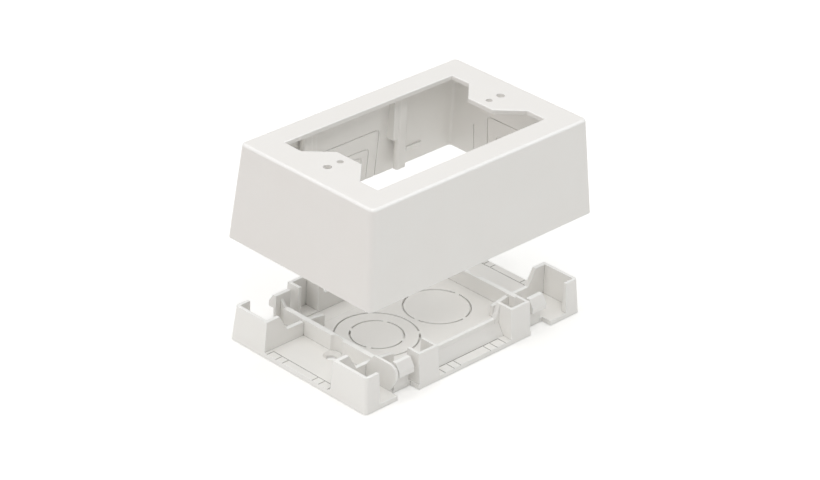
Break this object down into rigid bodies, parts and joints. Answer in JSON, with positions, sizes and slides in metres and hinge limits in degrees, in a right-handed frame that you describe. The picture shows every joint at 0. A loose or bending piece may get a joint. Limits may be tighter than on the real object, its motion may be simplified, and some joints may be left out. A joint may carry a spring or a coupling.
{
  "type": "low voltage junction box",
  "caption": "Surface raceway junction box in off-white plastic: a flat snap fit base with knockouts and a tapered cover with a device window and screw ears, shown lifted off.",
  "frame": {"origin": "centre of the base's underside, the face that lies on the wall", "axes": "+X along the long side, +Z out of the wall toward the room, +Y across the box; the cover is stored lifted along +Z as the picture shows it"},
  "size_m": [0.1266, 0.0816, 0.089],
  "materials": {
    "moulded_plastic": "off-white moulded ABS with a fine satin texture"
  },
  "bodies": {
    "base": {"base": "moulded_plastic"},
    "cover": {"cover": "moulded_plastic"}
  },
  "joints": [
    {"name": "cover_lift", "type": "slide", "parent": "base", "child": "cover", "axis": [0, 0, 1], "range_m": [-0.047, 0]}
  ]
}
